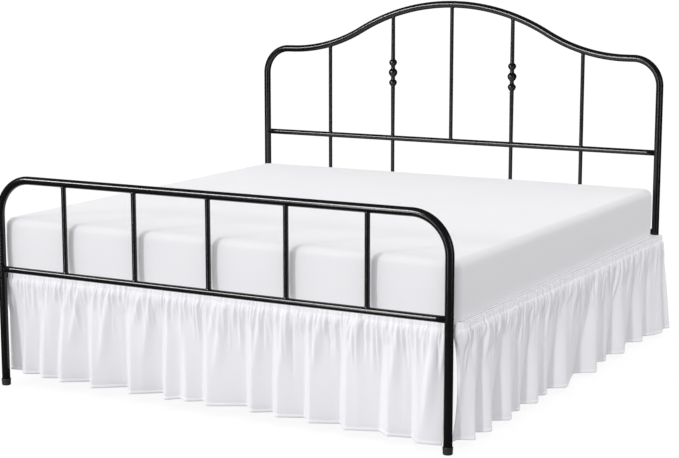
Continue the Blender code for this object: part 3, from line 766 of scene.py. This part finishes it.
rightCreases = (
    (63, 113, 43, 10, 8), (176, 181, 21, 7, 6), (310, 315, 43, 8, 5), (328, 311, 18, 7, 6),
    (470, 456, 23, 8, 5), (602, 648, 63, 10, 8), (639, 639, 18, 7, 5), (759, 771, 28, 8, 6),
    (810, 797, 18, 7, 5), (862, 920, 43, 11, 8), (1032, 997, 36, 10, 7), (995, 933, 23, 7, 6),
    (1074, 1202, 86, 12, 12), (1192, 1216, 36, 9, 8), (1350, 1389, 56, 9, 7), (1662, 1643, 56, 9, 7),
    (1803, 1777, 43, 8, 6), (1893, 1919, 63, 9, 8), (621, 644, 21, 6, 5), (213, 227, 18, 7, 6),
    (417, 423, 16, 6, 5), (909, 919, 18, 6, 5), (1121, 1164, 18, 7, 6), (1465, 1494, 16, 7, 6),
    (1514, 1532, 23, 7, 6), (1736, 1748, 21, 7, 6), (1969, 1973, 23, 7, 6), (331, 366, 37, -5.6, 8),
    (1686, 1715, 28, -7, 8), (193, 218, 67, -4.2, 8), (1283, 1305, 52, -5.6, 8), (719, 743, 43, -4.9, 6),
)


def inMetres(rows, percentColumn=None):
    return [tuple(value / (100 if column == percentColumn else 1000) for column, value in enumerate(row))
            for row in rows]


creaseShape = {
    "rise": 0.022,          # share of the drop over which a crease comes up, from a part of its height
    "start": 0.65,
    "fade": (2.2, 1.2),
    "path": 0.85,
    "steep": 1.5,
    "gentle": 0.8,
    "trough": 2.0,
    "narrow": (0.75, 0.25),     # width at the top, and what it gains down to fullWidthAt
    "fullWidthAt": 0.12,
}

# Gathers by family: spacing, crest heights, how far down they run as a share of the drop, and width.
gathers = {
    "fine": {"pitch": 0.0088, "crest": (0.0038, 0.0068), "run": (0.05, 0.17), "width": 0.0023},
    "short": {"pitch": 0.0185, "crest": (0.0062, 0.0115), "run": (0.16, 0.52), "width": 0.0043},
    "long": {"pitch": 0.090, "crest": (0.0018, 0.0038), "run": (0.5, 1.4), "width": 0.0110},
}
gatherJitter = 0.36     # in spacings
gatherWander = 0.009    # how far a gather may run sideways


def foldLine(folds, start, end, rests, share):
    slide = (1 - share) ** skirt["slantFall"]
    flankTop, flankGain = skirt["flankGrowth"]

    def grown(reach):
        return reach * share ** (skirt["crestGrowth"] if reach > 0 else skirt["valleyGrowth"])

    places, reaches = [start[0]], [grown(start[1])]
    for tip, reach, flank, valley, hem, topShift in folds:
        crest = tip + topShift * slide
        foot = crest - flank * (flankTop + flankGain * share)
        if foot > start[0] + skirt["endClear"]:
            places.append(foot)
            reaches.append(grown(valley))
        places.append(crest)
        reaches.append(grown(reach))
    for place, reach, hem in rests:
        places.append(place)
        reaches.append(grown(reach))
    places.append(end[0])
    reaches.append(grown(end[1]))
    return places, reaches


def creaseRow(creases, place, share):
    narrow, widening = creaseShape["narrow"]
    fall, tail = creaseShape["fade"]
    row = np.zeros(len(place))
    for top, end, stop, height, width in creases:
        if share >= stop:
            continue
        gone = share / stop
        centre = top + (end - top) * gone ** creaseShape["path"]
        lift = min(1.0, creaseShape["start"] + share / creaseShape["rise"])
        fade = (1 - gone ** fall) ** tail
        widened = narrow + widening * min(1.0, share / creaseShape["fullWidthAt"])
        apart = (place - centre) / (width * widened)
        if height > 0:
            apart = apart * np.where(apart < 0, creaseShape["steep"], creaseShape["gentle"])
        else:
            apart = apart * creaseShape["trough"]
        row += height * lift * fade * np.exp(-0.5 * apart ** 2)
    return row


# Ridges are kept softly below a height, so that they don't hide the cloth beside them.
def capped(relief, cap):
    return np.where(relief > 0, cap * (1 - np.exp(-np.maximum(relief, 0) / cap)), relief)


def gatherDraws(start, end, draw):
    rows = []
    for family in gathers.values():
        count = int((end - start) / family["pitch"])
        jitter = draw.uniform(-gatherJitter, gatherJitter, count)
        spots = start + (np.arange(count) + 0.5 + jitter) * (end - start) / count
        crests = draw.uniform(*family["crest"], count)
        runs = np.exp(draw.uniform(*np.log(family["run"]), count))
        wanders = draw.uniform(-gatherWander, gatherWander, count)
        for spot, crest, run, wander in zip(spots, crests, runs, wanders):
            rows.append((spot, spot + wander, run, crest, family["width"]))
    return rows


def gridNormals(grid):
    down = np.gradient(grid, axis=0)
    along = np.gradient(grid, axis=1)
    normal = np.cross(along, -down)
    return normal / np.linalg.norm(normal, axis=-1)[..., None]


def buildPanel(side, facts):
    folds, rests, start, end = facts["folds"], facts["rests"], facts["start"], facts["end"]
    draw = np.random.default_rng(facts["seed"])
    taller, wider = skirt["creaseGain"][side]
    small = [(*row[:3], row[3] * taller, row[4] * wider)
             for row in facts["creases"] + gatherDraws(start[0], end[0], draw)]
    step = skirt["sampling"]
    dense = np.arange(start[0], end[0], step)
    rounding = skirt["rounding"][side]
    spread = int(3 * rounding / step)

    def lean(place):
        near = np.maximum(0, 1 - (place - start[0]) / skirt["leanSpread"])
        far = np.maximum(0, 1 - (end[0] - place) / skirt["leanSpread"])
        return start[2] * near ** skirt["leanCurve"] + end[2] * far ** skirt["leanCurve"]

    def reachAt(share):
        line = np.interp(dense, *foldLine(folds, start, end, rests, share))
        sigma = rounding * (0.5 + 0.5 * share) / step
        kernel = np.exp(-0.5 * (np.arange(-spread, spread + 1) / sigma) ** 2)
        line = np.convolve(np.pad(line, spread, mode="edge"), kernel / kernel.sum(), "valid")
        cap = skirt["ridgeCap"] + skirt["ridgeCapGrowth"] * share
        relief = capped(creaseRow(small, dense, share), cap)
        settled = line + relief - skirt["settle"] * min(1.0, share / skirt["settleBy"])
        deepest = skirt["deepest"] - skirt["deepening"] * max(0.0, share - skirt["deepeningFrom"])
        seat = (skirt["headingOut"] - skirt["clothOut"]) * max(0.0, 1 - share / skirt["headingSettle"])
        seat += (skirt["puff"][side] * min(1.0, share / skirt["puffRise"])
                 * max(0.0, 1 - share / skirt["puffFade"]))
        return np.maximum(settled, deepest) + seat

    def headingAt(down):
        least, gain = skirt["headingRelief"]
        relief = capped(creaseRow(small, dense, 0.0) * (least + gain * down), skirt["ridgeCap"])
        return skirt["headingOut"] - skirt["clothOut"] + np.maximum(relief, skirt["headingDeepest"])

    def hemAt(place):
        spots, hems = [start[0]], [start[3]]
        for tip, reach, flank, valley, hem, topShift in folds:
            if tip - flank > start[0] + skirt["endClear"]:
                spots.append(tip - flank)
                hems.append(hem + skirt["valleyLift"])
            spots.append(tip)
            hems.append(hem)
        spots += [row[0] for row in rests] + [end[0]]
        hems += [row[2] for row in rests] + [end[3]]
        return easedLine(spots, hems, place)

    # The cloth is as long as its hem line. Its threads are evenly spaced at the top and drift to the hem.
    run = runAlong(facts["hemCurve"](dense + lean(dense), skirt["clothOut"] + reachAt(1.0)))
    count = skirt["columns"]
    cloth = np.linspace(0, run[-1], count)
    hemPlace = np.interp(cloth, run, dense)
    topPlace = np.linspace(dense[0], dense[-1], count)
    seam = facts["bandTop"] - skirt["bandHeight"] + skirt["seamAbove"]
    drop = seam - hemAt(hemPlace)

    share = np.linspace(0, 1, skirt["rows"]) ** skirt["rowCrowding"]
    hemShare = 1 - skirt["hemDepth"] / drop.mean()
    share = np.concatenate([share[share < hemShare - skirt["hemClear"]], hemShare + hemShape[:, 0]])
    heading = skirt["headingRows"]
    share = np.concatenate([np.zeros(heading), np.minimum(share, 1.0)])
    rows = len(share)
    aboveHem = rows - len(hemShape)
    relief = np.concatenate([np.zeros(aboveHem), hemShape[:, 1]])
    thickness = np.concatenate([np.full(aboveHem, skirt["clothThickness"]), hemShape[:, 2]])
    ground = np.zeros((rows, count, 2))
    for row, depth in enumerate(share):
        place = topPlace + (hemPlace - topPlace) * depth ** skirt["threadDrift"]
        reachLine = headingAt(row / heading) if row < heading else reachAt(depth)
        reach = skirt["clothOut"] + np.interp(place, dense, reachLine)
        opening = max(0.0, (depth - skirt["foldStart"]) / (1 - skirt["foldStart"])) ** skirt["foldGrowth"]
        above = facts["topCurve"](place, reach)
        ground[row] = above + (facts["hemCurve"](place + lean(place), reach) - above) * opening
    z = seam - drop[None] * share[:, None]
    headingTop = facts["bandTop"] - skirt["headingEdge"]
    z[:heading] = headingTop + (seam - headingTop) * np.arange(heading)[:, None] / heading
    grid = np.concatenate([ground, z[..., None]], -1)
    grid[..., 1] += footY
    normal = gridNormals(grid)
    grid = grid + normal * relief[:, None, None]
    half = thickness[:, None, None] / 2
    points = np.concatenate([(grid + normal * half).reshape(-1, 3), (grid - normal * half).reshape(-1, 3)])
    if facts["mirror"]:
        points[:, 0] *= -1
    piece = quadPiece(f"{side}Panel", points, sheetFaces(rows, count, facts["mirror"]), skirtCloth,
                      [f"panel_{side}"])
    across, down = np.broadcast_to(cloth, (rows, count)), z.mean(axis=1)[:, None] + 0 * cloth
    meshUv(piece, np.tile(np.stack([across, down], -1).reshape(-1, 2), (2, 1)))
    stitchRow = aboveHem + hemStitchRow
    return piece, {"flat": (run[-1], float(drop.mean()) + headingTop - seam + skirt["hemDepth"]),
                   "stitchLine": grid[stitchRow], "stitchNormal": normal[stitchRow]}


hemStitch = {
    "pitch": 0.0036,
    "size": (0.0029, 0.0007, 0.0006),       # length, width, height
    "out": 0.0011,
    "swell": ((-0.32, 0.8), (0.0, 1.0), (0.32, 0.8)),   # along one stitch, as shares of its size
}


def stitchLine(name, points, normals, along, material):
    ring = [(1, 0), (0, 1), (-1, 0), (0, -1)]
    shape = [(-0.5, 0, 0)]
    for at, swell in hemStitch["swell"]:
        shape += [(at, swell * a / 2, swell * b / 2) for a, b in ring]
    shape = np.array(shape + [(0.5, 0, 0)]) * hemStitch["size"]
    side = np.cross(normals, along)
    made = (points[:, None] + along[:, None] * shape[None, :, 0:1] + side[:, None] * shape[None, :, 1:2]
            + normals[:, None] * shape[None, :, 2:3])
    last = len(shape) - 1
    one = []
    for a in range(4):
        b = (a + 1) % 4
        one.append((0, 1 + b, 1 + a))
        for base in (1, 5):
            one.append((base + a, base + b, base + 4 + b, base + 4 + a))
        one.append((last - 4 + a, last - 4 + b, last))
    faces = []
    for index in range(len(points)):
        faces += [[corner + index * len(shape) for corner in face] for face in one]
    return newPiece(name, made, faces, material)


def hemStitches(side, facts, info):
    line, normal = info["stitchLine"], info["stitchNormal"]
    run = runAlong(line)
    spots = np.arange(hemStitch["pitch"], run[-1] - hemStitch["pitch"], hemStitch["pitch"])

    def at(values):
        return np.stack([np.interp(spots, run, values[:, axis]) for axis in range(3)], -1)

    points, normals = at(line), at(normal)
    tangent = at(np.gradient(line, axis=0))
    tangent /= np.linalg.norm(tangent, axis=1)[:, None]
    normals -= tangent * (normals * tangent).sum(1)[:, None]
    normals /= np.linalg.norm(normals, axis=1)[:, None]
    points = points + normals * hemStitch["out"]
    if facts["mirror"]:
        flip = np.array([-1.0, 1.0, 1.0])
        points, normals, tangent = points * flip, normals * flip, tangent * flip
    return stitchLine(f"{side}HemStitches", points, normals, tangent, hemThread)


bandShape = {
    "pucker": 0.0010,
    "puckerGrowth": (0.30, 0.70),   # at the top edge, and what it gains down to the lower edge
    "step": 0.0018,
    "round": 0.0012,
    "pitch": 0.0096,
    "pitchSpread": (0.55, 1.45),
    "slope": 200,                   # how much a pucker slants, in radians per metre
    "clear": 0.0003,                # gap to the base
    "flatBack": 0.001,
    "frontRows": (0.25, 0.42, 0.58, 0.74),
    "seed": 5,
    "smoothAngle": 50,
}


def bandSection():
    height, thick, corner = skirt["bandHeight"], skirt["bandThickness"], bandShape["round"]
    clear = bandShape["clear"]
    section = [(clear, -height), (clear, -height * 0.5), (clear, 0.0)]
    section += arcPoints((thick - corner, -corner), corner, math.pi / 2, 0, 3).tolist()
    section += [(thick + clear, -height * share) for share in bandShape["frontRows"]]
    section += arcPoints((thick - corner, corner - height), corner, 0, -math.pi / 2, 3).tolist()
    return section


def buildBand(side, facts):
    places = facts["places"]
    draw = np.random.default_rng(bandShape["seed"])
    count = len(places)
    section = bandSection()
    turnStep = 2 * math.pi * bandShape["step"] / bandShape["pitch"]
    phase = np.cumsum(draw.uniform(*bandShape["pitchSpread"], count)) * turnStep
    tilt = draw.uniform(0, 2 * math.pi)
    back, height = bandShape["flatBack"], skirt["bandHeight"]
    least, gain = bandShape["puckerGrowth"]
    points = []
    for out, z in section:
        front = max(0.0, (out - back) / (skirt["bandThickness"] - back))
        wave = np.sin(phase + z * bandShape["slope"] + tilt) * bandShape["pucker"] * front
        plan = facts["topCurve"](places, np.full(count, out) + wave * (least + gain * (-z / height)))
        points.append(np.column_stack([plan[:, 0], plan[:, 1] + footY, np.full(count, facts["bandTop"] + z)]))
    points = np.array(points).transpose(1, 0, 2)
    ringSize = len(section)
    faces = ringFaces(count, ringSize)
    if facts["mirror"]:
        points = points * np.array([-1.0, 1.0, 1.0])
    else:
        faces = [face[::-1] for face in faces]
    piece = newPiece(f"{side}Band", points, faces, bandCloth, [f"band_{side}"],
                     smoothAngle=bandShape["smoothAngle"])
    run = np.tile(places[:, None], (1, ringSize)).reshape(-1)
    across = np.tile(np.arange(ringSize)[None] * 0.003, (count, 1)).reshape(-1)
    meshUv(piece, np.stack([run, across], -1))
    return piece


# The hidden side's creases, three beside each fold: top and end, in leads from the crest, a shift of the
# end, how far down, height and width. The lead is drawn for each fold.
plainLead = (0.025, 0.060)
plainRows = (
    (-1.0, 0.0, -0.012, (0.4, 0.85), 0.010, 0.009), (0.4, 0.3, 0.0, (0.15, 0.35), 0.007, 0.006),
    (1.0, 0.8, 0.0, (0.15, 0.4), -0.007, 0.007),
)


def plainCreases(folds, seed):
    draw = np.random.default_rng(seed)
    rows = []
    for tip, reach, flank, valley, hem, topShift in folds:
        lead = draw.uniform(*plainLead)
        for top, end, shift, stop, height, width in plainRows:
            rows.append((tip + topShift + top * lead, tip + end * lead + shift, draw.uniform(*stop),
                         height, width))
    return rows


begin = sideStart()
step = bandShape["step"]
footPlaces = np.arange(-skirt["footHalf"], skirt["footHalf"] + 1e-6, step)
footPlaces[-1] = skirt["footHalf"]
sidePlaces = np.concatenate([np.linspace(begin, bendEnd, 20),
                             np.arange(bendEnd + step, skirt["sideEnd"], step)])
sidePlaces[-1] = skirt["sideEnd"]

# Start and end of a panel: place, how far it stands out, lean past the end at the hem, and hem height.
# A rest is a place near the end where the cloth comes back in: place, how far out, and hem height.
sideFacts = {
    "end": (skirt["sideEnd"], 0.044, 0.068, 0.018),
    "rests": ((2.052, 0.004, 0.018),),
    "bandTop": skirt["sideBandTop"],
    "places": sidePlaces,
    "topCurve": sideFace,
    "hemCurve": sideLine,
}
leftRows = inMetres(leftFolds)
panels = {
    "foot": {
        "folds": inMetres(footFolds),
        "creases": inMetres(footCreases, percentColumn=2),
        "start": (-skirt["footHalf"], -0.004, -0.010, 0.054),
        "end": (skirt["footHalf"], 0.012, -0.024, 0.021),
        "rests": (),
        "bandTop": skirt["footBandTop"],
        "places": footPlaces,
        "topCurve": footFace,
        "hemCurve": footFace,
        "mirror": False,
        "seed": 11,
    },
    "right": dict(sideFacts, folds=inMetres(rightFolds), creases=inMetres(rightCreases, percentColumn=2),
                  start=(begin, -0.046, 0.058, 0.022), mirror=False, seed=23),
    "left": dict(sideFacts, folds=leftRows, creases=plainCreases(leftRows, seed=53),
                 start=(begin, -0.046, 0.058, 0.046), mirror=True, seed=37),
}
for side, facts in panels.items():
    panel, info = buildPanel(side, facts)
    band = buildBand(side, facts)
    stitches = hemStitches(side, facts, info)
    print(side, "panel: cloth", *[round(size, 3) for size in info["flat"]])


# Deck: the thin cloth between the base and the mattress, which the panels are sewn to.

deck = {"low": 0.44874, "high": 0.44896, "steps": (48, 96), "inset": 0.0008}


def buildDeck():
    across, along = deck["steps"]
    front, rear = skirt["baseFront"] + deck["inset"], skirt["baseRear"] - deck["inset"]
    y = np.linspace(front, rear, along + 1)
    half = skirt["baseCornerX"] + (y - bendEnd) * math.tan(slant) - deck["inset"]
    radius = skirt["baseCornerRadius"]
    bend = np.clip((bendEnd - y) / radius, 0, 1)
    half -= radius * (1 - np.sqrt(np.maximum(0, 1 - bend ** 2)))
    x = np.linspace(-1, 1, across + 1)[None, :] * half[:, None]
    flat = np.stack([x, np.broadcast_to(y[:, None] + footY, x.shape)], -1).reshape(-1, 2)
    points = np.concatenate([np.column_stack([flat, np.full(len(flat), deck[level])])
                             for level in ("high", "low")])
    piece = quadPiece("skirtDeck", points, sheetFaces(along + 1, across + 1, flip=True), skirtCloth)
    meshUv(piece, points[:, :2])
    return piece, (2 * float(half.mean()), rear - front)


deckPiece, deckSize = buildDeck()
print("skirt made")


# Floor, light and camera

stage = {
    "rings": (2.5, 6.0, 20.0, 150.0),
    "steps": 72,
    "drop": 0.0006,
    "dark": (0.115, 0.115, 0.115),
    "light": (0.125, 0.125, 0.125),
    "shadeScale": 1.5,
    "roughness": 0.9,
    "glow": 0.90,
}


def buildFloor():
    mesh = bpy.data.meshes.new("studioFloor")
    steps = stage["steps"]
    points, faces = [(0, 0, 0)], []
    for ring in stage["rings"]:
        for step in range(steps):
            angle = 2 * math.pi * step / steps
            points.append((ring * math.cos(angle), ring * math.sin(angle), 0))
    for step in range(steps):
        faces.append((0, 1 + step, 1 + (step + 1) % steps))
    for ring in range(len(stage["rings"]) - 1):
        for step in range(steps):
            a = 1 + ring * steps + step
            b = 1 + ring * steps + (step + 1) % steps
            faces.append((a, a + steps, b + steps, b))
    mesh.from_pydata(points, [], faces)
    floor = newObject("studioFloor", mesh)
    floor.location.z = -stage["drop"]
    material, tree, shader = newMaterial("paleFloor")
    shade = noiseAt(tree, objectPlace(tree), stage["shadeScale"], 2.0)
    setSockets(tree, shader, Base_Color=tint(tree, shade, stage["dark"], stage["light"]),
               Roughness=stage["roughness"], Specular_IOR_Level=0.0, Emission_Color=(1, 1, 1, 1),
               Emission_Strength=stage["glow"])
    mesh.materials.append(material)
    floor.visible_diffuse = False  # the light from below comes from the sky, so the floor can stay white
    floor.visible_glossy = False


light = {
    "skySeen": (1.0, 1.0, 1.0),
    "skyAbove": (1.04, 1.04, 1.04),
    "skyBelow": (0.46, 0.46, 0.475),
    "skyBlend": 0.25,                # height on either side of level over which above and below mix
    "skyDim": (0.875, 0.63),         # strength over most of the sky, and in its dim quarter
    "dimTowards": 130.0,             # azimuth of that quarter
    "skyGloss": (0.016, 0.016, 0.016),
    "sunDistance": 8.0,
    "stripDistance": 6.0,
    "aim": (0, 0, 0.5),
}
# Suns: azimuth, elevation, power and angular size.
suns = {
    "keyLight": (-33.0, 16.0, 1.03, 8.0),
    "softLeft": (-62.0, 22.0, 0.24, 45.0),
    "softRearRight": (150.0, 18.0, 0.66, 30.0),
    "softRight": (75.0, 6.0, 0.19, 40.0),
    "sideLamp": (7.5, 12.0, 0.80, 3.4),
}
# The side lamp is flagged: it grazes the skirt's right side and reaches nothing else.
sunReach = {"sideLamp": ("rightPanel", "rightBand", "rightHemStitches")}
# Strips that only gloss sees: azimuth, elevation, width, height, power.
glossStrips = {
    "railStrip": (-29.0, 27.0, 4.4, 1.0, 440.0),
    "leftPostStrip": (-16.0, 8.0, 0.8, 3.4, 95.0),
    "rightPostStrip": (74.0, 8.0, 0.8, 3.4, 34.0),
}


def background(tree, color, strength=1.0):
    return addNode(tree, "ShaderNodeBackground", Color=color, Strength=strength).outputs[0]


def mixedBy(tree, factor, first, second):
    return addNode(tree, "ShaderNodeMixShader", inputs=(factor, first, second)).outputs[0]


def buildSky():
    world = bpy.data.worlds.new("studioSky")
    world.use_nodes = True
    tree = world.node_tree
    tree.nodes.clear()
    rays = addNode(tree, "ShaderNodeLightPath")
    place = addNode(tree, "ShaderNodeTexCoord").outputs["Generated"]
    height = addNode(tree, "ShaderNodeSeparateXYZ", Vector=place).outputs["Z"]
    upward = remap(tree, height, -light["skyBlend"], light["skyBlend"], 0.0, 1.0)
    towards = math.radians(light["dimTowards"])
    dim = addNode(tree, "ShaderNodeVectorMath", {"operation": "DOT_PRODUCT"},
                  (place, (math.sin(towards), -math.cos(towards), 0.0)))
    lit = background(tree, tint(tree, upward, light["skyBelow"], light["skyAbove"]),
                     remap(tree, dim.outputs["Value"], 0.0, 1.0, *light["skyDim"]))
    gloss = background(tree, (*light["skyGloss"], 1))
    seen = background(tree, (*light["skySeen"], 1))
    sky = mixedBy(tree, rays.outputs["Is Glossy Ray"], lit, gloss)
    sky = mixedBy(tree, rays.outputs["Is Camera Ray"], sky, seen)
    addNode(tree, "ShaderNodeOutputWorld", Surface=sky)
    bpy.context.scene.world = world


# A lamp looks at the same point from its azimuth and elevation.
def newLamp(name, kind, azimuth, elevation, distance, power):
    lamp = bpy.data.lights.new(name, kind)
    lamp.energy = power
    item = newObject(name, lamp)
    a, e = math.radians(azimuth), math.radians(elevation)
    back = (math.sin(a) * math.cos(e), -math.cos(a) * math.cos(e), math.sin(e))
    item.location = [light["aim"][axis] + back[axis] * distance for axis in range(3)]
    item.rotation_euler = (math.pi / 2 - e, 0, a)
    return item


def buildSuns():
    for name, (azimuth, elevation, power, size) in suns.items():
        item = newLamp(name, "SUN", azimuth, elevation, light["sunDistance"], power)
        item.data.angle = math.radians(size)
        item.visible_glossy = False
        if name in sunReach:
            reach = bpy.data.collections.new(f"{name}Reach")
            for piece in sunReach[name]:
                reach.objects.link(bpy.data.objects[piece])
            item.light_linking.receiver_collection = reach


def buildStrips():
    for name, (azimuth, elevation, width, height, power) in glossStrips.items():
        item = newLamp(name, "AREA", azimuth, elevation, light["stripDistance"], power)
        item.data.shape = "RECTANGLE"
        item.data.size = width
        item.data.size_y = height
        item.visible_camera = False
        item.visible_diffuse = False


camera = {
    "place": (3.1396, -5.8191, 1.6249),
    "tilt": 9.34,
    "turn": 28.691,
    "lens": 85.88,
    "sensor": 36,
    "farthest": 400,
}


def buildCamera():
    data = bpy.data.cameras.new("productCamera")
    data.lens = camera["lens"]
    data.sensor_width = camera["sensor"]
    data.clip_end = camera["farthest"]
    item = newObject("productCamera", data)
    item.location = camera["place"]
    item.rotation_euler = (math.pi / 2 - math.radians(camera["tilt"]), 0, math.radians(camera["turn"]))
    bpy.context.scene.camera = item


buildFloor()
buildSky()
buildSuns()
buildStrips()
buildCamera()
bpy.context.scene.view_settings.view_transform = "Standard"
bpy.context.scene.view_settings.look = "None"
print("stage, light and camera made")
